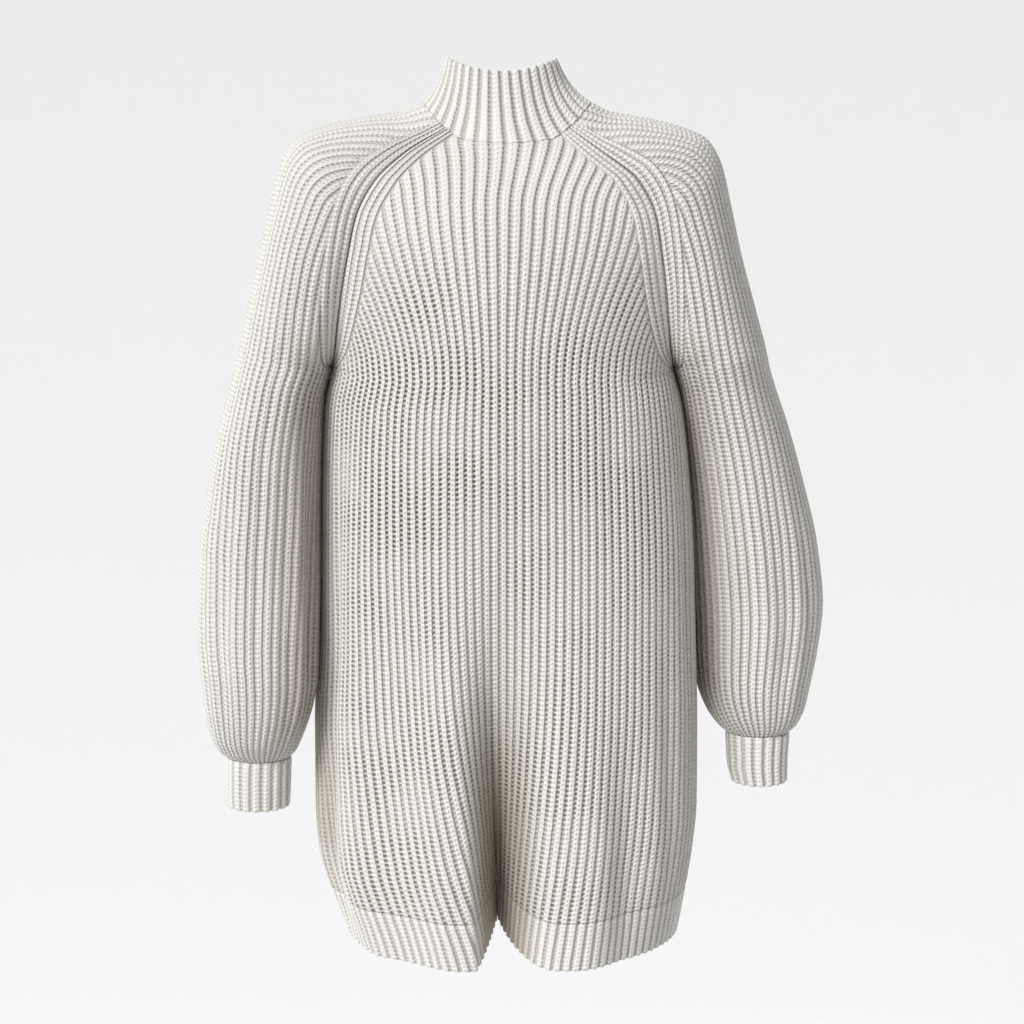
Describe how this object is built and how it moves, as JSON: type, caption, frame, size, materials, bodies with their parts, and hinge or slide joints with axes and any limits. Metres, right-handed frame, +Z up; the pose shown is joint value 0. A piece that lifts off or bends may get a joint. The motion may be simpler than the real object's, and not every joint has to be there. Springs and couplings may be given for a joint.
{
  "type": "sweater dress",
  "caption": "Oversized short sweater dress in a fisherman's rib knit, with a funnel neck, raglan sleeves gathered into ribbed cuffs, and a ribbed hem, filled out with no wearer.",
  "frame": {"origin": "the middle of the neck at the height of the shoulders, where the wearer's neck and shoulders hold the dress up", "axes": "+X towards the wearer's left sleeve, +Y towards the back, +Z up through the collar"},
  "size_m": [0.6272, 0.2551, 0.8775],
  "materials": {
    "knit": "matte",
    "rib": "matte"
  },
  "bodies": {
    "root": {"front_panel": "knit", "back_panel": "knit", "sleeve_left": "knit", "sleeve_right": "knit", "collar": "rib", "cuff_left": "rib", "cuff_right": "rib", "hem_front": "rib", "hem_back": "rib"}
  },
  "joints": []
}
